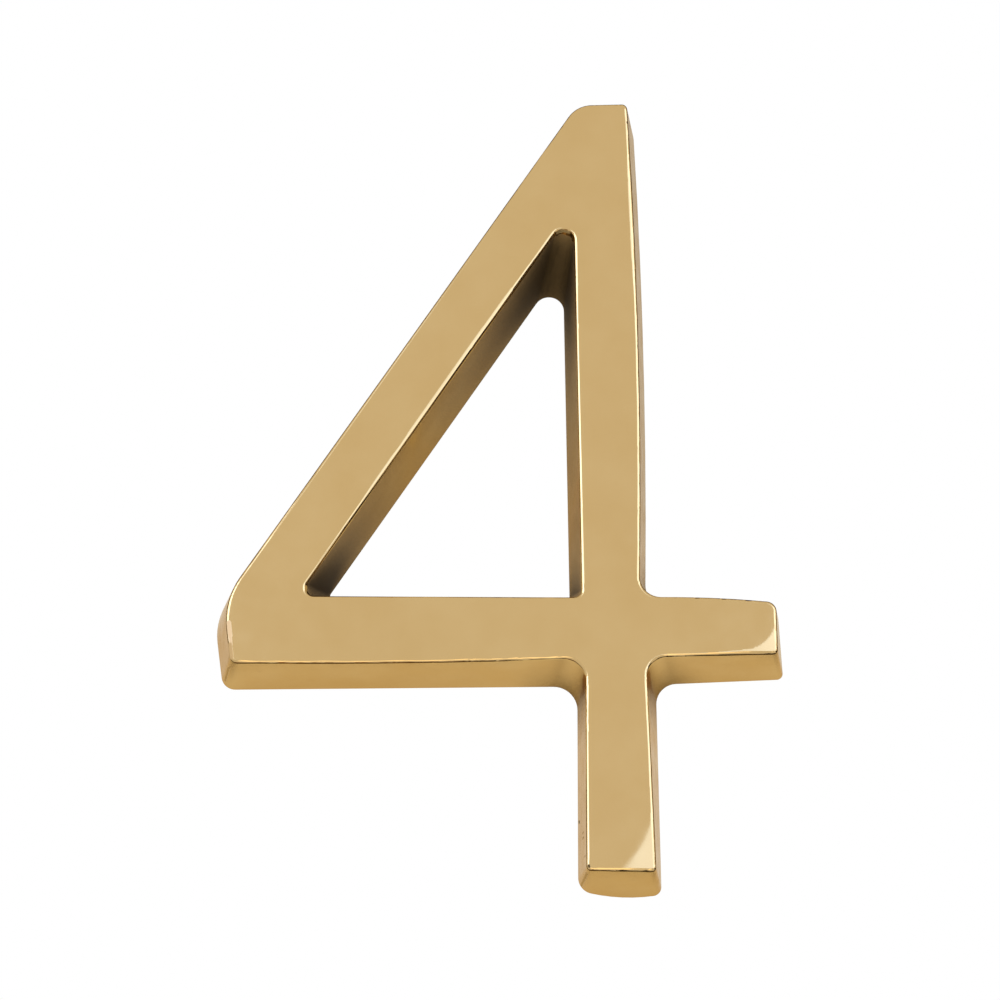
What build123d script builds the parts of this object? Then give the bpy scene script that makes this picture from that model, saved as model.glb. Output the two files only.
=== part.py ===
from build123d import *
from dataclasses import dataclass
from math import cos, radians, sin, tan
import os

# House number: the numeral 4, cast in one piece of solid brass.
# The origin is on the wall, where the middle of the stem crosses the middle of the bar.
# +Z is up and the show face looks along -Y. Every side slopes outwards from the show
# face to the wall, as the sides of a casting do to leave the mould.
# Lengths are millimetres and angles are degrees.

# Body of the casting
THICKNESS = 12.0        # wall to show face
ARRIS = 0.5             # rounding where the sides meet the show face

# Show face, measured from the origin
STEM_LEFT = -4.9
STEM_RIGHT = 3.85       # at the two ends of the bowed right side
STEM_TOP = 85.6
FOOT_LEFT = -4.75
FOOT_RIGHT = 5.2
FOOT_BOTTOM = -37.65
ARM_TOP = 3.9
ARM_BOTTOM = -4.75
ARM_END = 24.8
BAR_TOP = 4.9
BAR_BOTTOM = -5.0
BAR_END = -59.1
LIMB_ANGLE = 55.5       # slope of the long diagonal limb
LIMB_OUTER = -62.95     # where its outer side would meet the level of the origin
LIMB_INNER = -52.0      # the same for its inner side

# Tapped holes in the back for the fixing studs, M4 at tapping size
HOLE_RADIUS = 1.65
HOLE_MOUTH = 2.0        # radius of the countersink at the mouth
HOLE_DEPTH = 7.0        # to the end of the full diameter
DRILL_POINT = 118.0
HOLE_HIGH = 70.0        # above the origin, in the solid corner over the counter
HOLE_LOW = -30.0        # in the foot of the stem


@dataclass
class Side:
    """One side of the numeral, followed with the metal on the right hand.

    at and heading place it on the show face. draft is how far it stands out at the
    wall, and splay is how much more it turns there. rounding holds the radii of the
    corner at its far end, and bow its bulge, on the show face and at the wall.
    """

    at: tuple
    heading: float
    draft: float
    rounding: tuple
    bow: tuple = (0, 0)
    splay: float = 0.0

    def line(self, depth):
        """The side's line, from the show face (depth 0) to the wall (depth 1)."""
        turn = radians(self.heading + self.splay * depth)
        outwards = Vector(-sin(turn), cos(turn)) * self.draft * depth
        return Axis(Vector(*self.at) + outwards, Vector(cos(turn), sin(turn)))


OUTLINE = (
    Side((0, STEM_TOP), 0.7, 1.8, (0.8, 3.2)),
    Side((STEM_RIGHT, 45), -89.9, 1.4, (3.2, 3.2), bow=(0.85, 0.75)),
    Side((15, ARM_TOP), -2.9, 1.7, (1.6, 1.6), bow=(0.33, 0.33)),
    Side((ARM_END, 0), -90, 1.4, (0.8, 1.0), splay=2.5),
    Side((18, ARM_BOTTOM), 181.0, 1.5, (2.9, 3.2), splay=0.7),
    Side((FOOT_RIGHT, -25), -88.7, 1.5, (0.7, 1.4), splay=-1.2),
    Side((0, FOOT_BOTTOM), 178.5, 1.3, (0.7, 2.5), bow=(0, 0.75), splay=-2.3),
    Side((FOOT_LEFT, -25), 89.2, 1.05, (3.2, 3.7)),
    Side((-33, BAR_BOTTOM), 180.1, 1.63, (1.3, 2.2), bow=(0.35, 0), splay=-0.3),
    Side((BAR_END, 0), 97.2, 2.3, (12, 10)),
    Side((LIMB_OUTER, 0), LIMB_ANGLE, 1.9, (4.5, 5.0)),
)

COUNTER = (
    Side((-25, BAR_TOP), -1, 1.9, (1.2, 1.2)),
    Side((STEM_LEFT, 30), 90.1, 1.65, (1.7, 2.4)),
    Side((LIMB_INNER, 0), LIMB_ANGLE + 180, 1.8, (1.3, 1.0), splay=-0.1),
)


def drafted_solid(sides):
    """The solid inside a loop of sides, from the show face to the wall."""
    with BuildPart() as solid:
        for depth in (0, 1):
            lines = [side.line(depth) for side in sides]
            corners = [here.intersect(after) for here, after in zip(lines, lines[1:] + lines[:1])]
            with BuildSketch(Plane.XZ.offset(THICKNESS * (1 - depth))) as loop:
                with BuildLine():
                    for side, start, end in zip(sides, corners[-1:] + corners[:-1], corners):
                        if side.bow[depth]:
                            SagittaArc(start, end, side.bow[depth])
                        else:
                            Line(start, end)
                make_face()
                for side, corner in zip(sides, corners):
                    fillet(loop.vertices().sort_by_distance(corner)[0], side.rounding[depth])
        loft(ruled=True)
    return solid.part


with BuildPart() as number_four:
    add(drafted_solid(OUTLINE))
    add(drafted_solid(COUNTER), mode=Mode.SUBTRACT)
    fillet(number_four.faces().sort_by(Axis.Y)[0].edges(), ARRIS)
    for height in (HOLE_HIGH, HOLE_LOW):
        mouth = Plane(origin=(0, 0, height), z_dir=(0, 1, 0))
        with Locations(mouth):
            CounterSinkHole(HOLE_RADIUS, HOLE_MOUTH, HOLE_DEPTH, 90)
        point = HOLE_RADIUS / tan(radians(DRILL_POINT / 2))
        with Locations(mouth.offset(-HOLE_DEPTH - point / 2)):
            Cone(0, HOLE_RADIUS, point, mode=Mode.SUBTRACT)

number_four.part.label = "number_four"
os.makedirs("parts", exist_ok=True)
export_step(number_four.part, "parts/number_four.step")
box = number_four.part.bounding_box()
print("volume mm3", round(number_four.part.volume))
print("size", box.size, "from", box.min, "to", box.max)
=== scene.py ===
import logging
import math
from dataclasses import dataclass, field
from enum import Enum

import bmesh
import bpy
from mathutils import Matrix, Vector


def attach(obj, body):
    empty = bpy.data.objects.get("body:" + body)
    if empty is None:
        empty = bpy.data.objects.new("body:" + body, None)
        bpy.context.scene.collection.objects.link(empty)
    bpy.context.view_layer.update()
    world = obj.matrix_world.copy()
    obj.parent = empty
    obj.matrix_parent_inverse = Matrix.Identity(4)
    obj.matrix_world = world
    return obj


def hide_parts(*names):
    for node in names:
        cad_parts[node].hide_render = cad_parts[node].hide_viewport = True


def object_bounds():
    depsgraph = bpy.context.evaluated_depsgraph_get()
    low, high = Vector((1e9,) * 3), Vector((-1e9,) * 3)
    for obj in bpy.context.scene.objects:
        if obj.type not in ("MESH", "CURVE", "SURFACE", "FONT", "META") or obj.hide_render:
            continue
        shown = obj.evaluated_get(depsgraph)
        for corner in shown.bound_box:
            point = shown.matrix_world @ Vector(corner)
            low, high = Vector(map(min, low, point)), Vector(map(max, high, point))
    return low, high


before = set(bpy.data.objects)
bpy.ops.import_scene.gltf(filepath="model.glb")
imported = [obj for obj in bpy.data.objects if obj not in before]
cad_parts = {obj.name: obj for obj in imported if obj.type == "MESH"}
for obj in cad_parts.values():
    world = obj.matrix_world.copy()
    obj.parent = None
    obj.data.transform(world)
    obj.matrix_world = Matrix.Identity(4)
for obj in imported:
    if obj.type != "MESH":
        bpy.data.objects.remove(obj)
CAD_LOW, CAD_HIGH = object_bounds()

LOG = logging.getLogger("house_number")
MM = 0.001
NODE = "number_four"
BODY = "root"
HOLE_LEVELS = (70.0, -30.0)     # millimetres above the origin, of the tapped holes' middles
NOISE_MIDDLE = (0.35, 0.65)     # where most values of a noise lie
FADE_START = 1 / 3              # share of a pit's or mark's radius where its edge begins to fade
SHADE_RAYS = 8                  # samples with which a material looks for walls near it
SNAP = 1e-7                     # metres, within which a point counts as on a cutting plane


def linear(code: str) -> tuple[float, float, float, float]:
    """Turns an sRGB hex colour into the linear colour that a socket takes.

    Args:
        code: the colour, such as "#CCAB73".

    Returns:
        Red, green, blue and an alpha of 1.
    """
    channels = [int(code[at:at + 2], 16) / 255 for at in (1, 3, 5)]
    bent = [c / 12.92 if c <= 0.04045 else ((c + 0.055) / 1.055) ** 2.4 for c in channels]
    return (*bent, 1.0)


def add_node(tree: bpy.types.NodeTree, kind: str, settings: dict | None = None,
             links: dict | None = None) -> bpy.types.Node:
    """Adds one node with its settings and its links.

    Args:
        tree: the tree that gets the node.
        kind: its type, without the leading ShaderNode.
        settings: properties by name, and constant inputs by socket name or number.
        links: sockets of other nodes, by the name or number of the input that each feeds.

    Returns:
        The node.
    """
    node = tree.nodes.new("ShaderNode" + kind)
    for key, value in (settings or {}).items():
        if isinstance(key, str) and hasattr(node, key):
            setattr(node, key, value)
        else:
            node.inputs[key].default_value = value
    for key, socket in (links or {}).items():
        tree.links.new(socket, node.inputs[key])
    return node


def empty_material(name: str) -> bpy.types.Material:
    """Makes a material whose node tree is still empty.

    Args:
        name: its name.

    Returns:
        The material.
    """
    material = bpy.data.materials.new(name)
    material.use_nodes = True
    material.node_tree.nodes.clear()
    return material


def finish_mesh(bm: bmesh.types.BMesh, name: str) -> bpy.types.Object:
    """Turns a bmesh into an object of the scene, at the origin.

    Args:
        bm: the bmesh, which is freed.
        name: the name of the object and of its mesh.

    Returns:
        The new object.
    """
    mesh = bpy.data.meshes.new(name)
    bm.to_mesh(mesh)
    bm.free()
    made = bpy.data.objects.new(name, mesh)
    bpy.context.scene.collection.objects.link(made)
    return made


class Surface(Enum):
    """The ways in which the surface of the casting was finished."""

    FACE = 0
    SIDE = 1
    COUNTER = 2
    BACK = 3


@dataclass(frozen=True)
class Mark:
    """A painted patch along a line: painted shade in a pit, nick or seam, or a painted highlight or
    reflection. Lengths are millimetres.
    """

    start: tuple[float, float, float]
    end: tuple[float, float, float]
    radius: float
    colour: str = "#4A3A20"         # of painted shade in a pit or nick, or of a painted highlight or reflection
    roughness: float = 1.0

    def cover(self, tree: bpy.types.NodeTree, place: bpy.types.NodeSocket) -> bpy.types.NodeSocket:
        """Adds the nodes that tell how much of a place the mark covers.

        Args:
            tree: the material's tree.
            place: the socket of the Object coordinates.

        Returns:
            The socket of the share, 1 along the line from start to end and 0 past the radius.
        """
        start, line = Vector(self.start) * MM, (Vector(self.end) - Vector(self.start)) * MM
        offset = add_node(tree, "VectorMath", {"operation": "SUBTRACT", 1: start}, {0: place}).outputs[0]
        along = add_node(tree, "VectorMath", {"operation": "DOT_PRODUCT", 1: line / line.length_squared},
                         {0: offset})
        held = add_node(tree, "MapRange", None, {"Value": along.outputs["Value"]})
        nearest = add_node(tree, "VectorMath", {"operation": "SCALE", 0: line}, {"Scale": held.outputs[0]})
        gap = add_node(tree, "VectorMath", {"operation": "DISTANCE"}, {0: offset, 1: nearest.outputs[0]})
        radius = self.radius * MM
        return add_node(tree, "MapRange", {
            "interpolation_type": "SMOOTHSTEP", "From Min": radius * FADE_START, "From Max": radius,
            "To Min": 1.0, "To Max": 0.0}, {"Value": gap.outputs["Value"]}).outputs[0]


@dataclass(frozen=True)
class BrassFinish:
    """Cast yellow brass, as one step of its finishing leaves it.

    Lengths are millimetres. A height is how far a pattern stands up and a width is the
    size of one of its marks.
    """

    name: str
    colour: str
    stain: str                      # the colour of the faint patches
    roughness: tuple[float, float]  # where it is brightest, and where it is dullest
    patch_width: float = 9.0
    dull_width: float = 3.0         # of the spots that are a little duller
    wave_width: float = 7.0
    wave_height: float = 0.004
    grain_width: float = 0.35
    grain_height: float = 0.0
    grain_length: float = 1.0       # how many times longer than wide a grain mark is
    pit_spacing: float = 0.0        # 0 where there are no pits
    pit_radius: float = 0.12
    pit_depth: float = 0.05
    corner_shade: str = ""                 # the colour of the painted shade in corners where walls stand close
    corner_shade_width: float = 25.0
    corner_shade_roughness: float = 0.8
    corner_shade_range: tuple[float, float] = (0.5, 1.05)      # openness from full painted shade to bare metal
    edge: str = "#DFC8AC"           # the colour of what it mirrors at a glancing angle
    marks: tuple[Mark, ...] = ()

    def material(self) -> bpy.types.Material:
        """Builds the material from its colour, its roughness and its relief.

        Returns:
            The material.
        """
        material = empty_material(self.name)
        tree = material.node_tree
        place = add_node(tree, "TexCoord").outputs["Object"]
        patches = self._noise(tree, place, self.patch_width, detail=3.0)
        colour = add_node(tree, "Mix", {"data_type": "RGBA", 6: linear(self.colour), 7: linear(self.stain)},
                          {"Factor": self._spread(tree, patches, 0.0, 1.0)})
        dull = self._noise(tree, place, self.dull_width, detail=4.0)
        links = {"Base Color": colour.outputs[2], "Roughness": self._spread(tree, dull, *self.roughness),
                 "Normal": self._relief(tree, place)}
        # Painted shade in the corners, from ambient occlusion.
        if self.corner_shade:
            links |= self._corner_shade(tree, links)
        for mark in self.marks:
            links |= self._marked(tree, links, mark, place)
        shader = add_node(tree, "BsdfPrincipled", {"Metallic": 1.0, "Specular Tint": linear(self.edge)},
                          links)
        add_node(tree, "OutputMaterial", None, {"Surface": shader.outputs[0]})
        return material

    def _corner_shade(self, tree: bpy.types.NodeTree, plain: dict) -> dict:
        """Paints shade on the metal, dark, dull and not metallic, where walls stand close to each other.

        Args:
            tree: the material's tree.
            plain: the sockets of the bare metal, by the shader's input.

        Returns:
            The sockets that take their place, and one for how much metal shows.
        """
        nook = add_node(tree, "AmbientOcclusion", {"samples": SHADE_RAYS, "only_local": True,
                                                   "Distance": self.corner_shade_width * MM})
        least, most = self.corner_shade_range
        bare = add_node(tree, "MapRange", {"From Min": least, "From Max": most},
                        {"Value": nook.outputs["AO"]}).outputs[0]
        colour = add_node(tree, "Mix", {"data_type": "RGBA", 6: linear(self.corner_shade)},
                          {"Factor": bare, 7: plain["Base Color"]})
        rough = add_node(tree, "Mix", {2: self.corner_shade_roughness}, {"Factor": bare, 3: plain["Roughness"]})
        return {"Base Color": colour.outputs[2], "Roughness": rough.outputs[0], "Metallic": bare}

    def _marked(self, tree: bpy.types.NodeTree, plain: dict, mark: Mark, place: bpy.types.NodeSocket) -> dict:
        """Puts one mark on the metal.

        Args:
            tree: the material's tree.
            plain: the sockets without it, by the shader's input.
            mark: the mark.
            place: the socket of the Object coordinates.

        Returns:
            The sockets that take their place.
        """
        share = mark.cover(tree, place)
        colour = add_node(tree, "Mix", {"data_type": "RGBA", 7: linear(mark.colour)},
                          {"Factor": share, 6: plain["Base Color"]})
        rough = add_node(tree, "Mix", {3: mark.roughness}, {"Factor": share, 2: plain["Roughness"]})
        metal = {2: plain["Metallic"]} if "Metallic" in plain else {}
        bare = add_node(tree, "Mix", {2: 1.0, 3: 0.0}, {"Factor": share} | metal)
        return {"Base Color": colour.outputs[2], "Roughness": rough.outputs[0], "Metallic": bare.outputs[0]}

    def _noise(self, tree: bpy.types.NodeTree, place: bpy.types.NodeSocket, width: float,
               detail: float) -> bpy.types.NodeSocket:
        """Adds a noise whose patches are as wide as the width, in millimetres."""
        return add_node(tree, "TexNoise", {"Scale": 1 / (width * MM), "Detail": detail},
                        {"Vector": place}).outputs["Fac"]

    def _spread(self, tree: bpy.types.NodeTree, noise: bpy.types.NodeSocket, low: float,
                high: float) -> bpy.types.NodeSocket:
        """Stretches the middle of a noise over a range.

        Args:
            tree: the material's tree.
            noise: the socket of the noise.
            low: what its low values become.
            high: what its high values become.

        Returns:
            The socket of the stretched value.
        """
        least, most = NOISE_MIDDLE
        limits = {"From Min": least, "From Max": most, "To Min": low, "To Max": high}
        return add_node(tree, "MapRange", limits, {"Value": noise}).outputs[0]

    def _relief(self, tree: bpy.types.NodeTree, place: bpy.types.NodeSocket) -> bpy.types.NodeSocket:
        """Adds the waves, the grain and the pits, each on top of the one before.

        Args:
            tree: the material's tree.
            place: the socket of the Object coordinates.

        Returns:
            The socket of the finished normal.
        """
        waves = self._noise(tree, place, self.wave_width, detail=1.0)
        normal = add_node(tree, "Bump", {"Strength": 1.0, "Distance": self.wave_height * MM},
                          {"Height": waves}).outputs[0]
        if self.grain_height:
            drawn = add_node(tree, "Mapping", {"Scale": (1.0, 1.0, 1 / self.grain_length)}, {"Vector": place})
            grain = self._noise(tree, drawn.outputs[0], self.grain_width, detail=3.0)
            normal = add_node(tree, "Bump", {"Strength": 1.0, "Distance": self.grain_height * MM},
                              {"Height": grain, "Normal": normal}).outputs[0]
        if self.pit_spacing:
            cells = add_node(tree, "TexVoronoi", {"Scale": 1 / (self.pit_spacing * MM)}, {"Vector": place})
            edge = self.pit_radius / self.pit_spacing
            pits = add_node(tree, "MapRange", {
                "interpolation_type": "SMOOTHSTEP", "From Min": edge * FADE_START, "From Max": edge},
                {"Value": cells.outputs["Distance"]})
            normal = add_node(tree, "Bump", {"Strength": 1.0, "Distance": self.pit_depth * MM},
                              {"Height": pits.outputs[0], "Normal": normal}).outputs[0]
        return normal


# The colours of painted shade, painted highlights and a painted reflection.
SMALL_PIT_SHADE = "#96723C"
SEAM_SHADE = "#AC843F"
PAINTED_RIM_HIGHLIGHT = "#F0D0A5"
DULL_RIM = "#CBA974"
PAINTED_NOOK_REFLECTION = "#7C6840"
MATT = 0.6                      # the roughness of the painted rim and nook patches

# Painted shade, painted highlights and a painted reflection, as marks on the metal.
PAINTED_MARKS = (
    # Painted shade of casting pits in the foot's left side, and of a chip in the corner of its face.
    Mark((-5.71, -1.2, -28.2), (-5.6, -2.5, -28.5), 0.38, "#6B5B32"),
    Mark((-5.31, -6.6, -31.0), (-5.18, -8.0, -31.0), 0.2, SMALL_PIT_SHADE),
    Mark((-5.32, -6.6, -31.8), (-5.19, -8.0, -31.8), 0.22, SMALL_PIT_SHADE),
    Mark((-5.14, -9.2, -35.0), (-5.05, -10.2, -35.0), 0.2, SMALL_PIT_SHADE),
    Mark((-4.6, -12.0, -36.8), (-4.55, -12.0, -37.0), 0.26),
    # Painted shade of nicks beside the top of the stem.
    Mark((3.8, -11.9, 82.4), (3.8, -11.9, 82.6), 0.17),
    Mark((4.3, -8.4, 83.2), (4.3, -8.4, 83.4), 0.2),
    # Painted shade in the seams of the two lower left corners.
    Mark((-4.88, -9.4, -37.6), (-5.6, -0.3, -38.0), 0.3, SEAM_SHADE),
    Mark((-58.4, -9.9, -5.05), (-59.1, -7.6, -4.86), 0.2, SEAM_SHADE),
    Mark((-59.1, -7.6, -4.86), (-60.15, -1.7, -5.45), 0.3, SEAM_SHADE),
    Mark((-58.82, -10.9, -3.9), (-58.87, -10.2, -4.35), 0.18, SEAM_SHADE),
    # A painted highlight along a stretch of the left end's rim, pale and matt, then duller further down.
    Mark((-58.85, -12.0, 1.2), (-58.6, -12.0, -0.8), 0.5, PAINTED_RIM_HIGHLIGHT, MATT),
    Mark((-58.6, -12.0, -0.8), (-58.45, -12.0, -2.2), 0.35, PAINTED_RIM_HIGHLIGHT, MATT),
    Mark((-58.6, -11.9, -2.2), (-58.35, -11.9, -4.2), 0.5, DULL_RIM, MATT),
    # A painted reflection: a dull grey-gold band under the rim in the counter's upper corner.
    Mark((-7.65, -11.4, 64.25), (-6.6, -11.4, 64.6), 0.42, PAINTED_NOOK_REFLECTION, MATT),
    Mark((-6.6, -11.4, 64.6), (-5.4, -11.4, 64.2), 0.42, PAINTED_NOOK_REFLECTION, MATT),
)

# Yellow brass, polished on a soft wheel. It mirrors the room in one even colour, and waves
# too slight to see in it bend the bright edges a little.
POLISHED = BrassFinish("polished_cast_brass", colour="#CCAD77", stain="#C9A972", roughness=(0.07, 0.11),
                       marks=PAINTED_MARKS)

# The same casting on its drafted sides, which a wheel reaches less well: brushed to a satin
# by hand, with a few casting pits left.
BRUSHED = BrassFinish("brushed_cast_brass", colour="#CEB07F", stain="#C9A976", roughness=(0.14, 0.22),
                      wave_width=5.0, wave_height=0.006, grain_height=0.0012, pit_spacing=6.0, marks=PAINTED_MARKS)

# The inside of the counter, brushed less, with painted shade that turns it dark brown in its three corners.
SHADED_COUNTER_BRASS = BrassFinish("counter_brass_painted_shade", colour="#C9A56B", stain="#BF9A61", roughness=(0.24, 0.34),
                        wave_width=5.0, wave_height=0.006, grain_height=0.0012, corner_shade="#43341A",
                        edge="#D6B896")

# The back, ground flat on a belt that ran up and down the numeral: dull, with fine
# lengthwise scratches that are drawn 0.3 mm wide, coarser than the grit, so that they show.
LINISHED = BrassFinish("linished_brass", colour="#C3A06A", stain="#B8945E", roughness=(0.3, 0.42),
                       grain_width=0.3, grain_height=0.004, grain_length=60.0)

# Freshly cut metal inside the tapped holes.
TAPPED = BrassFinish("tapped_brass", colour="#CBA667", stain="#C4A062", roughness=(0.2, 0.3),
                     wave_height=0.0)


def worn_depth(past: float, slope: float, knee: float) -> float:
    """Gives how far worn metal lies below the flat.

    Args:
        past: how far the place is past the end of the flat.
        slope: how steeply the metal falls away in the end.
        knee: the length over which it gets that steep.

    Returns:
        The depth, 0 on the flat.
    """
    if past <= 0:
        return 0.0
    if past < knee:
        return slope * past ** 2 / (2 * knee)
    return slope * (past - knee / 2)


def cut_strips(bm: bmesh.types.BMesh, faces: list[bmesh.types.BMFace], start: Vector, normal: Vector,
               span: float, cell: float) -> list[bmesh.types.BMFace]:
    """Cuts faces by planes in a row.

    Args:
        bm: the casting.
        faces: the faces to cut.
        start: a point of the first plane.
        normal: the way in which the others follow it.
        span: how far the last plane may be from the first, in metres.
        cell: the gap between planes, in metres.

    Returns:
        The faces past the first plane.
    """
    for step in range(round(span / cell) + 1):
        geom = faces + list({e for f in faces for e in f.edges}) + list({v for f in faces for v in f.verts})
        cut = bmesh.ops.bisect_plane(bm, geom=geom, plane_co=start + normal * step * cell, plane_no=normal,
                                     dist=SNAP)
        faces = [f for f in cut["geom"] if isinstance(f, bmesh.types.BMFace)
                 and normal.dot(f.calc_center_median() - start) > 0]
    return faces


@dataclass(frozen=True)
class WornCorner:
    """A corner of the show face that the polishing wheel has taken down a little.

    The flat part of the face ends on an arc, and on two lines that run on from it and
    lean out to the rim. Past them the metal falls away at a slope that is full after the
    length of the knee. Lengths are millimetres, angles radians, and pairs are x and z.
    """

    centre: tuple[float, float]
    radius: float
    reach: float                    # how far from the centre the wear goes
    slope: float
    knee: float
    start: tuple[float, float]      # where the cells that follow the wear begin
    span: tuple[float, float]       # how far they go
    towards: tuple[int, int] = (1, -1)      # signs of x and z on the side that is worn
    lean: float = 0.1
    cell: float = 0.22

    def depth(self, x: float, z: float) -> float:
        """Gives how far the face has been taken down at a place on it.

        Args:
            x: the place, in millimetres.
            z: the same, upwards.

        Returns:
            The depth in millimetres, 0 on the flat part.
        """
        across, along = ((at - middle) * sign for at, middle, sign in zip((x, z), self.centre, self.towards))
        distance = math.hypot(across, along)
        if distance > self.reach:
            return 0.0
        angle = math.atan2(along, across)
        nearest = min(max(angle, self.lean), math.pi / 2 - self.lean)
        return worn_depth(distance * math.cos(angle - nearest) - self.radius, self.slope, self.knee)

    def cut(self, bm: bmesh.types.BMesh, faces: list[bmesh.types.BMFace]) -> None:
        """Cuts the faces that are worn into cells.

        Args:
            bm: the casting.
            faces: its front, of which the worn part is cut.
        """
        for axis, begin, span, sign in zip((0, 2), self.start, self.span, self.towards):
            point, normal = Vector(), Vector()
            point[axis], normal[axis] = begin * MM, sign
            faces = cut_strips(bm, faces, point, normal, span * MM, self.cell * MM)


@dataclass(frozen=True)
class WornEdge:
    """A stretch of a rim of the show face that is rounded off more than the rest.

    It is given by the line of the side under it, followed with the metal on the right
    hand. Lengths are millimetres, and pairs are x and z.
    """

    start: tuple[float, float]
    end: tuple[float, float]
    width: float                    # from the side's line to the flat, at the middle
    slope: float
    knee: float = 0.25
    room: float = 1.0               # how far past the line the rim may reach
    cells: tuple[float, float] = (1.2, 0.14)    # along the rim and across it

    def depth(self, x: float, z: float) -> float:
        """Gives how far the face has been taken down at a place on it.

        Args:
            x: the place, in millimetres.
            z: the same, upwards.

        Returns:
            The depth in millimetres, 0 on the flat part and past both ends.
        """
        line, place = Vector(self.end) - Vector(self.start), Vector((x, z)) - Vector(self.start)
        share = place.dot(line) / line.length_squared
        across = line.normalized().cross(place)
        if not 0 < share < 1 or abs(across) > self.width + self.room:
            return 0.0
        return worn_depth(across + self.width * (1 - (2 * share - 1) ** 4), self.slope, self.knee)

    def cut(self, bm: bmesh.types.BMesh, faces: list[bmesh.types.BMFace]) -> None:
        """Cuts the faces that are worn into cells.

        Args:
            bm: the casting.
            faces: its front, of which the worn part is cut.
        """
        begin, stop = (Vector((x, 0, z)) * MM for x, z in (self.start, self.end))
        along = (stop - begin).normalized()
        across = Vector((-along.z, 0, along.x))
        last = cut_strips(bm, faces, stop, -along, 0.0, 1.0)
        strips = cut_strips(bm, last, begin, along, (stop - begin).length, self.cells[0] * MM)
        strips = cut_strips(bm, strips, begin - across * self.width * MM, across, 0.0, 1.0)
        near = [f for f in strips if across.dot(f.calc_center_median() - begin) < self.room * MM]
        cut_strips(bm, near, begin - across * self.width * MM, across, self.width * MM, self.cells[1] * MM)


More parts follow.
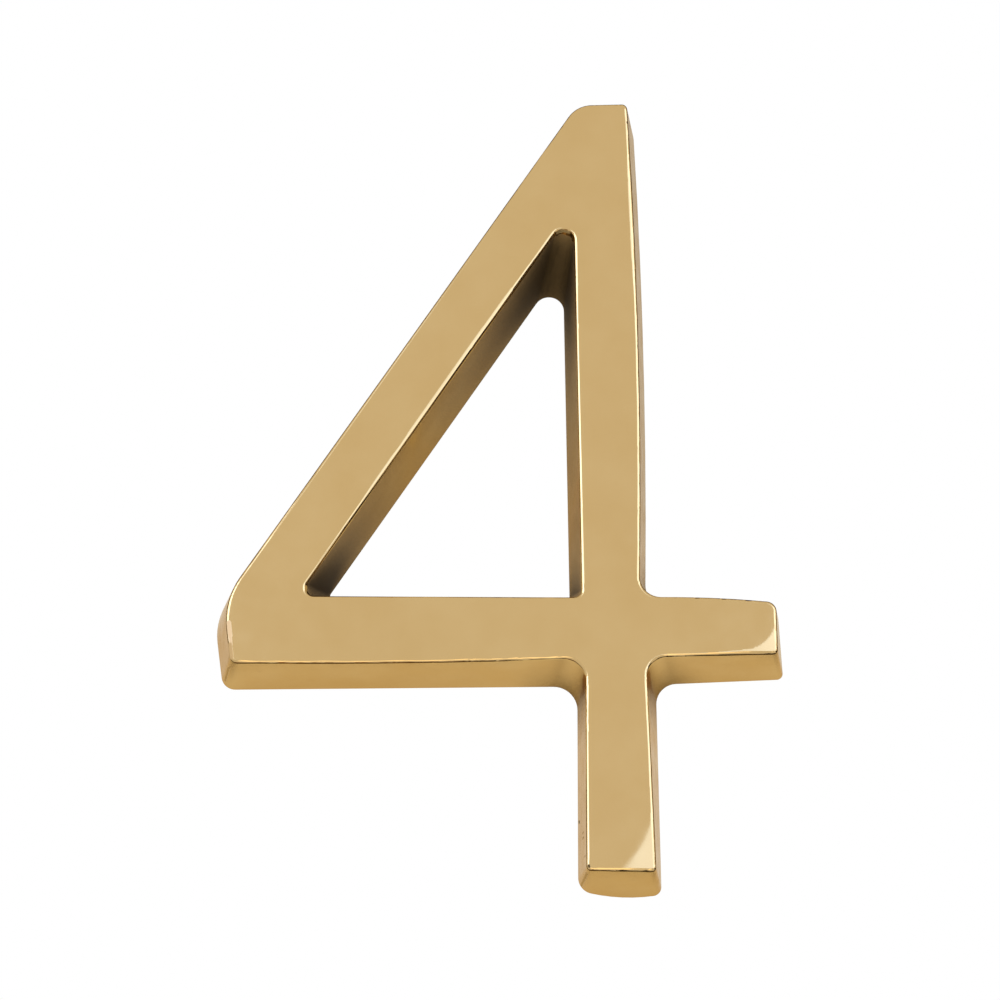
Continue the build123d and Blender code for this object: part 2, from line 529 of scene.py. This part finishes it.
@dataclass
class Casting:
    """The numeral itself: the CAD casting with the wear and finish of the real one."""

    name: str = "polished_four"
    corners: tuple[WornCorner, ...] = (
        WornCorner(centre=(19.8, 1.1), radius=4.7, reach=12.5, slope=0.11, knee=0.5,
                   start=(10.0, 2.0), span=(16.5, 7.5)),
        WornCorner(centre=(-15.05, -24.64), radius=19.6, reach=25.0, slope=0.07, knee=1.6,
                   start=(-2.5, -24.5), span=(8.5, 14.5)),
        WornCorner(centre=(-28.86, -0.88), radius=30.0, reach=31.0, slope=0.1, knee=0.25,
                   start=(-57.0, -2.5), span=(2.5, 11.5), towards=(-1, 1), lean=0.06),
    )
    edges: tuple[WornEdge, ...] = (
        WornEdge(start=(-8.4, 63.5), end=(-44.8, 10.5), width=0.85, slope=0.17),
        WornEdge(start=(3.95, 84.0), end=(4.72, 49.0), width=0.68, slope=0.17, knee=0.35),
    )
    merge: float = 0.0005           # millimetres between points that are one
    flat: float = 0.0005            # turn between faces that are one flat, in radians
    crease: float = 28.0            # degrees, past which an edge stays sharp
    rim_depth: float = 0.6          # millimetres of depth that the arris takes
    face_turn: float = 0.2          # share of a normal that looks out of the wall on the face
    rim_room: float = 1.2           # millimetres of depth that hold the face, its wear and its arris
    broad: float = 5.0              # square millimetres, past which a side face is a flat
    counter_low: tuple[float, float] = (-50.0, 3.0)     # x and z of a box round the counter
    counter_high: tuple[float, float] = (-2.0, 72.0)
    counter_middle: tuple[float, float] = (-17.0, 22.0)
    hole_room: float = 2.1          # radius that a hole with its countersink takes
    hole_depth: float = 9.0
    finishes: dict[Surface, BrassFinish] = field(default_factory=lambda: {
        Surface.FACE: POLISHED, Surface.SIDE: BRUSHED, Surface.COUNTER: SHADED_COUNTER_BRASS, Surface.BACK: LINISHED})

    def build(self) -> bpy.types.Object:
        """Builds the casting around the CAD node and hides that node.

        Returns:
            The casting.
        """
        bm = self.shape()
        self._wear(bm)
        self._assign(bm)
        normals = self._corner_normals(bm)
        made = finish_mesh(bm, self.name)
        made.data.normals_split_custom_set(normals)
        for surface in Surface:
            made.data.materials.append(self.finishes[surface].material())
        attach(made, BODY)
        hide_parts(NODE)
        return made

    def shape(self) -> bmesh.types.BMesh:
        """Copies the CAD node, with its doubled points merged.

        Returns:
            The copy.
        """
        bm = bmesh.new()
        bm.from_mesh(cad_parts[NODE].data)
        bmesh.ops.remove_doubles(bm, verts=bm.verts, dist=self.merge * MM)
        return bm

    def _wear(self, bm: bmesh.types.BMesh) -> None:
        """Cuts the face into cells where its corners and rims are worn, and takes them down.

        Args:
            bm: the casting.
        """
        front = CAD_LOW.y
        flats = [e for e in bm.edges if len(e.link_faces) == 2 and e.calc_face_angle() < self.flat
                 and all(abs(abs(f.normal.y) - 1) < self.flat for f in e.link_faces)]
        bmesh.ops.dissolve_limit(bm, angle_limit=self.flat, edges=flats, verts=[])
        rim = front + self.rim_depth * MM
        worn = [*self.corners, *self.edges]
        for place in worn:
            place.cut(bm, [f for f in bm.faces if min(v.co.y for v in f.verts) < rim])
        for vert in bm.verts:
            share = min(1.0, vert.co.y / rim)
            depth = max(place.depth(vert.co.x / MM, vert.co.z / MM) for place in worn)
            vert.co.y += depth * share * MM

    def _assign(self, bm: bmesh.types.BMesh) -> None:
        """Gives each face its finish, and keeps sharp the edges that are sharp.

        Args:
            bm: the casting.
        """
        bmesh.ops.triangulate(bm, faces=[f for f in bm.faces if len(f.verts) > 4])
        bm.normal_update()
        for face in bm.faces:
            face.smooth = True
            face.material_index = self._surface(face).value
        for edge in bm.edges:
            if len(edge.link_faces) == 2:
                edge.smooth = edge.calc_face_angle() < math.radians(self.crease)

    def _corner_normals(self, bm: bmesh.types.BMesh) -> list[Vector]:
        """Works out even shading, in which the flats stay flat up to their rims.

        Args:
            bm: the casting.

        Returns:
            A normal for each corner of each face: the mean of the faces that meet there
            with no crease between them, or of the flat ones alone if there are any.
        """
        crease = math.cos(math.radians(self.crease))
        weights = {f: f.calc_area() for f in bm.faces}
        drafted = (Surface.SIDE.value, Surface.COUNTER.value)
        flats = {f for f in bm.faces if abs(abs(f.normal.y) - 1) < self.flat or (
            f.material_index in drafted and weights[f] > self.broad * MM ** 2)}
        normals = []
        for face in bm.faces:
            for vert in face.verts:
                near = [f for f in vert.link_faces if f.normal.dot(face.normal) > crease]
                chosen = [f for f in near if f in flats] or near
                normals.append(sum((f.normal * weights[f] for f in chosen), Vector()).normalized())
        return normals

    def _surface(self, face: bmesh.types.BMFace) -> Surface:
        """Tells which finish a face of the casting has.

        Args:
            face: the face.

        Returns:
            Its kind of surface.
        """
        middle = face.calc_center_median() / MM
        drilled = middle.y > -self.hole_depth and any(
            math.hypot(middle.x, middle.z - level) < self.hole_room for level in HOLE_LEVELS)
        if drilled or face.normal.y > 1 - self.face_turn:
            return Surface.BACK
        deepest = max(v.co.y for v in face.verts)
        if face.normal.y < -self.face_turn and deepest < CAD_LOW.y + self.rim_room * MM:
            return Surface.FACE
        inside = all(low < at < high for low, at, high in
                     zip(self.counter_low, (middle.x, middle.z), self.counter_high))
        inwards = Vector((self.counter_middle[0] - middle.x, 0, self.counter_middle[1] - middle.z))
        return Surface.COUNTER if inside and face.normal.dot(inwards) > 0 else Surface.SIDE


@dataclass
class StudThread:
    """The M4 thread in one of the two tapped holes in the back. Lengths are millimetres."""

    name: str
    height: float                   # of the hole's middle, above the origin
    pitch: float = 0.7
    root: float = 1.68              # radius, just inside the wall of the hole
    root_half: float = 0.28         # half the width of the thread there
    crest: float = 1.47             # radius
    crest_half: float = 0.07
    start: float = 0.45             # how deep the thread begins, under the countersink
    length: float = 6.3
    steps: int = 28                 # for each turn

    def build(self) -> bpy.types.Object:
        """Winds the thread's section up the hole.

        Returns:
            The thread.
        """
        bm = bmesh.new()
        corners = [(self.root, -self.root_half), (self.crest, -self.crest_half),
                   (self.crest, self.crest_half), (self.root, self.root_half)]
        middle = -self.start - self.root_half
        section = [bm.verts.new((x * MM, (middle + y) * MM, self.height * MM)) for x, y in corners]
        bm.faces.new(section)
        turns = (self.length - 2 * self.root_half) / self.pitch
        steps = round(turns * self.steps)
        rise = Vector((0, -self.pitch / self.steps, 0)) * MM
        bmesh.ops.spin(bm, geom=bm.faces[:], cent=(0, 0, self.height * MM), axis=(0, 1, 0), dvec=rise,
                       angle=math.tau * steps / self.steps, steps=steps)
        bmesh.ops.recalc_face_normals(bm, faces=bm.faces)
        made = finish_mesh(bm, self.name)
        made.data.materials.append(TAPPED.material())
        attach(made, BODY)
        return made


@dataclass(frozen=True)
class Camera:
    """The photograph's viewpoint: close, a little below the numeral and looking up."""

    target: tuple[float, float, float] = (-17.2, 0.0, 23.6)     # millimetres
    distance: float = 526.2
    elevation: float = -16.0        # degrees
    roll: float = -0.7
    lens: float = 120.0             # millimetres, as the sensor's width is
    sensor: float = 36.0
    clip: float = 0.01              # metres

    def build(self) -> bpy.types.Object:
        """Sets up the camera and makes it the scene's.

        Returns:
            The camera.
        """
        data = bpy.data.cameras.new("photo_camera")
        data.lens, data.sensor_width, data.clip_start = self.lens, self.sensor, self.clip
        made = bpy.data.objects.new("photo_camera", data)
        bpy.context.scene.collection.objects.link(made)
        turn = Matrix.Rotation(math.radians(90 - self.elevation), 4, "X")
        roll = Matrix.Rotation(math.radians(self.roll), 4, "Z")
        back = turn @ Vector((0, 0, self.distance * MM))
        made.matrix_world = Matrix.Translation(Vector(self.target) * MM + back) @ turn @ roll
        bpy.context.scene.camera = made
        return made


@dataclass(frozen=True)
class LightBand:
    """A curved strip round the numeral that only its reflections see.

    Azimuth 0 is straight in front of the show face and 90 is to its right, elevation is
    above the horizon, and both are in degrees. The strength goes from the first value at
    the start to the second at the end.
    """

    name: str
    azimuth: tuple[float, float]
    elevation: tuple[float, float]
    strength: tuple[float, float]
    colour: str = "#CBDAFF"         # cool, as light from a window is
    radius: float = 0.9             # metres
    steps: int = 24

    def build(self, centre: Vector) -> bpy.types.Object:
        """Spins the band round a centre.

        Args:
            centre: the middle of the numeral.

        Returns:
            The band.
        """
        start, end = (math.radians(a) for a in self.azimuth)
        bm = bmesh.new()
        foot = centre + Vector((math.sin(start), -math.cos(start), 0)) * self.radius
        ends = [bm.verts.new(foot + Vector((0, 0, math.tan(math.radians(e)) * self.radius)))
                for e in self.elevation]
        edge = bm.edges.new(ends)
        bmesh.ops.spin(bm, geom=[*ends, edge], cent=centre, axis=(0, 0, 1), angle=end - start,
                       steps=self.steps)
        made = finish_mesh(bm, self.name)
        made.data.materials.append(self._material(centre, start, end))
        return made

    def _material(self, centre: Vector, start: float, end: float) -> bpy.types.Material:
        """Makes the glow, which changes evenly from the start of the band to its end.

        Args:
            centre: the middle of the numeral.
            start: the azimuth of the start, in radians.
            end: the azimuth of the end.

        Returns:
            The material.
        """
        material = empty_material(self.name)
        tree = material.node_tree
        place = add_node(tree, "TexCoord").outputs["Object"]
        local = add_node(tree, "VectorMath", {"operation": "SUBTRACT", 1: centre}, {0: place})
        parts = add_node(tree, "SeparateXYZ", None, {0: local.outputs[0]})
        front = add_node(tree, "Math", {"operation": "MULTIPLY", 1: -1.0}, {0: parts.outputs["Y"]})
        turn = add_node(tree, "Math", {"operation": "ARCTAN2"}, {0: parts.outputs["X"], 1: front.outputs[0]})
        glow = add_node(tree, "MapRange", {"From Min": start, "From Max": end, "To Min": self.strength[0],
                                           "To Max": self.strength[1]}, {"Value": turn.outputs[0]})
        light = add_node(tree, "Emission", {"Color": linear(self.colour)}, {"Strength": glow.outputs[0]})
        add_node(tree, "OutputMaterial", None, {"Surface": light.outputs[0]})
        return material


@dataclass
class Studio:
    """The pale floor, the wall that the numeral is mounted on and the soft light.

    Openness is the share of the air within reach that no wall of the numeral stands in.
    """

    floor_level: float = -0.65      # metres, as the next two are
    floor_size: float = 24.0
    wall_size: float = 0.32
    floor_colour: str = "#F7F6F4"
    wall_gap: float = 0.3           # millimetres between the back and the wall
    wall_colour: str = "#EAE5D2"    # what the sides mirror of it, from close by
    open_colour: str = "#F2F1E3"    # the same a little further off
    wall_strength: tuple[float, float] = (1.15, 0.93)   # low down, and higher up
    wall_change: tuple[float, float] = (0.008, 0.02)    # the levels where that changes, in metres
    nook_colour: str = "#3A2810"    # the same deep in the counter
    outer_colour: str = "#5C4F3C"   # the same further out, which draws a line under the rims
    shade_reach: float = 12.0       # millimetres
    near_range: tuple[float, float] = (0.32, 0.51)      # openness from the nook's colour to the wall's
    open_range: tuple[float, float] = (0.55, 0.8)       # from the wall's colour to the open one
    outer_range: tuple[float, float] = (0.88, 0.96)     # from the open colour to the outer one
    back_turn: float = 0.99         # least share of a normal that looks into the wall on the back
    side_turn: float = 0.3          # and the most on a side or in a hole
    card_size: float = 0.9          # metres, as the next two are
    card_front: float = -0.16       # where the card under the numeral begins
    card_lift: float = 0.04
    card_colours: tuple[str, str] = ("#9A6C34", "#1A120A")      # at the card's left and right
    card_change: tuple[float, float] = (-0.04, 0.01)            # where they change, in metres
    bands: tuple[LightBand, ...] = (
        # Windows to the right and the left, which the worn corners and the upright rims mirror.
        LightBand("right_light", azimuth=(9.0, 34.0), elevation=(4.3, 29.0), strength=(2.44, 4.0)),
        LightBand("right_side_light", azimuth=(34.0, 75.0), elevation=(4.3, 29.0), strength=(4.0, 3.5)),
        LightBand("left_light", azimuth=(-9.5, -34.0), elevation=(4.3, 29.0), strength=(2.44, 5.5)),
        LightBand("left_side_light", azimuth=(-34.0, -75.0), elevation=(4.3, 29.0), strength=(5.5, 4.5)),
        # These light the lower rims and the side of the diagonal, from low in front.
        LightBand("low_light", azimuth=(4.0, 24.0), elevation=(-4.0, 4.3), strength=(2.4, 3.1)),
        LightBand("front_light", azimuth=(-9.0, 9.0), elevation=(-40.0, -10.0), strength=(2.1, 2.1),
                  colour="#FFF6E6"),
        LightBand("low_side_light", azimuth=(24.0, 60.0), elevation=(-12.0, 4.3), strength=(3.1, 3.5)),
        # This draws the dark line beside the diagonal's rim.
        LightBand("low_side_shade", azimuth=(60.0, 105.0), elevation=(-30.0, -10.0), strength=(0.04, 0.04)),
    )

    def build(self, outline: bmesh.types.BMesh) -> None:
        """Sets up the world, the floor, the wall and the lights.

        Args:
            outline: a copy of the numeral, whose back gives the wall its cut-out.
        """
        scene = bpy.context.scene
        scene.view_settings.view_transform = "Standard"
        self._world(scene)
        floor = self._floor()
        wall = self._wall(outline)
        middle = (CAD_LOW + CAD_HIGH) / 2
        bands = [band.build(middle) for band in self.bands]
        for card in [wall, *bands, self._dark_card(middle)]:
            card.visible_camera = False
            card.visible_diffuse = card.visible_shadow = False

    def _world(self, scene: bpy.types.Scene) -> None:
        """Surrounds the numeral with an even white.

        Args:
            scene: the scene, which gets a world of its own.
        """
        scene.world = bpy.data.worlds.new("white_room")
        scene.world.use_nodes = True
        tree = scene.world.node_tree
        tree.nodes.clear()
        white = add_node(tree, "Background", {"Color": linear("#FFFFFF"), "Strength": 1.0})
        add_node(tree, "OutputWorld", None, {"Surface": white.outputs[0]})

    def _floor(self) -> bpy.types.Object:
        """Lays the floor.

        Returns:
            The floor.
        """
        bm = bmesh.new()
        level = Matrix.Translation((0, 0, self.floor_level))
        bmesh.ops.create_grid(bm, size=self.floor_size / 2, matrix=level)
        made = finish_mesh(bm, "floor")
        made.data.materials.append(self._floor_paint())
        return made

    def _floor_paint(self) -> bpy.types.Material:
        """Makes the floor's matt paint.

        Returns:
            The material.
        """
        material = empty_material("floor_paint")
        paint = add_node(material.node_tree, "BsdfDiffuse", {"Color": linear(self.floor_colour)})
        add_node(material.node_tree, "OutputMaterial", None, {"Surface": paint.outputs[0]})
        return material

    def _wall(self, outline: bmesh.types.BMesh) -> bpy.types.Object:
        """Makes the wall behind the numeral, open where the back of the numeral is.

        Args:
            outline: a copy of the numeral, which becomes the wall.

        Returns:
            The wall.
        """
        back = [f for f in outline.faces if f.normal.y > self.back_turn]
        rim = {e for f in back for e in f.edges if any(g.normal.y < self.side_turn for g in e.link_faces)}
        bmesh.ops.delete(outline, geom=outline.faces[:], context="FACES_ONLY")
        bmesh.ops.delete(outline, geom=[e for e in outline.edges if e not in rim], context="EDGES")
        bmesh.ops.delete(outline, geom=[v for v in outline.verts if not v.link_edges], context="VERTS")
        upright = Matrix.Rotation(math.pi / 2, 4, "X")
        board = bmesh.ops.create_grid(outline, size=self.wall_size / 2, matrix=upright)
        plates = list({f for v in board["verts"] for f in v.link_faces})
        bmesh.ops.delete(outline, geom=plates, context="FACES_ONLY")
        bmesh.ops.triangle_fill(outline, use_beauty=True, edges=outline.edges[:], normal=(0, -1, 0))
        bmesh.ops.translate(outline, verts=outline.verts, vec=(0, self.wall_gap * MM, 0))
        made = finish_mesh(outline, "wall")
        made.data.materials.append(self._wall_light())
        return made

    def _wall_light(self) -> bpy.types.Material:
        """Makes the wall's glow: bright beside the numeral, dim in its counter, dark further out.

        Returns:
            The material.
        """
        material = empty_material("wall_light")
        tree = material.node_tree
        room = add_node(tree, "AmbientOcclusion", {"samples": SHADE_RAYS, "Distance": self.shade_reach * MM})
        near, open_air, far = (
            add_node(tree, "MapRange", {"From Min": low, "From Max": high}, {"Value": room.outputs["AO"]})
            for low, high in (self.near_range, self.open_range, self.outer_range))
        pale = add_node(tree, "Mix", {"data_type": "RGBA", 6: linear(self.wall_colour),
                                      7: linear(self.open_colour)}, {"Factor": open_air.outputs[0]})
        lit = add_node(tree, "Mix", {"data_type": "RGBA", 6: linear(self.nook_colour)},
                       {"Factor": near.outputs[0], 7: pale.outputs[2]})
        whole = add_node(tree, "Mix", {"data_type": "RGBA", 7: linear(self.outer_colour)},
                         {"Factor": far.outputs[0], 6: lit.outputs[2]})
        place = add_node(tree, "SeparateXYZ", None, {0: add_node(tree, "TexCoord").outputs["Object"]})
        strength = add_node(tree, "MapRange", {
            "From Min": self.wall_change[0], "From Max": self.wall_change[1],
            "To Min": self.wall_strength[0], "To Max": self.wall_strength[1]}, {"Value": place.outputs["Z"]})
        light = add_node(tree, "Emission", None,
                         {"Color": whole.outputs[2], "Strength": strength.outputs[0]})
        add_node(tree, "OutputMaterial", None, {"Surface": light.outputs[0]})
        return material

    def _dark_card(self, middle: Vector) -> bpy.types.Object:
        """Makes the dark patch under the numeral that draws a line along its lower edges.

        Args:
            middle: the middle of the numeral.

        Returns:
            The card.
        """
        bm = bmesh.new()
        place = (middle.x, self.card_front + self.card_size / 2, self.floor_level + self.card_lift)
        bmesh.ops.create_grid(bm, size=self.card_size / 2, matrix=Matrix.Translation(place))
        made = finish_mesh(bm, "dark_card")
        made.data.materials.append(self._card_paint())
        return made

    def _card_paint(self) -> bpy.types.Material:
        """Makes the card's paint, brown under the bar and nearly black under the arm.

        Returns:
            The material.
        """
        material = empty_material("dark_card")
        tree = material.node_tree
        place = add_node(tree, "SeparateXYZ", None, {0: add_node(tree, "TexCoord").outputs["Object"]})
        start, end = self.card_change
        across = add_node(tree, "MapRange", {"From Min": start, "From Max": end},
                          {"Value": place.outputs["X"]})
        left, right = (linear(colour) for colour in self.card_colours)
        colour = add_node(tree, "Mix", {"data_type": "RGBA", 6: left, 7: right},
                          {"Factor": across.outputs[0]})
        paint = add_node(tree, "BsdfDiffuse", None, {"Color": colour.outputs[2]})
        add_node(tree, "OutputMaterial", None, {"Surface": paint.outputs[0]})
        return material


def main() -> None:
    """Builds the numeral, its threads and the studio, and reports each piece."""
    logging.basicConfig(level=logging.INFO, format="%(name)s: %(message)s")
    casting = Casting()
    made = [
        casting.build(),
        StudThread("upper_stud_thread", HOLE_LEVELS[0]).build(),
        StudThread("lower_stud_thread", HOLE_LEVELS[1]).build(),
    ]
    for piece in made:
        LOG.info("%s: %d points, %d faces", piece.name, len(piece.data.vertices), len(piece.data.polygons))
    Studio().build(casting.shape())
    Camera().build()


if __name__ == "__main__":
    main()
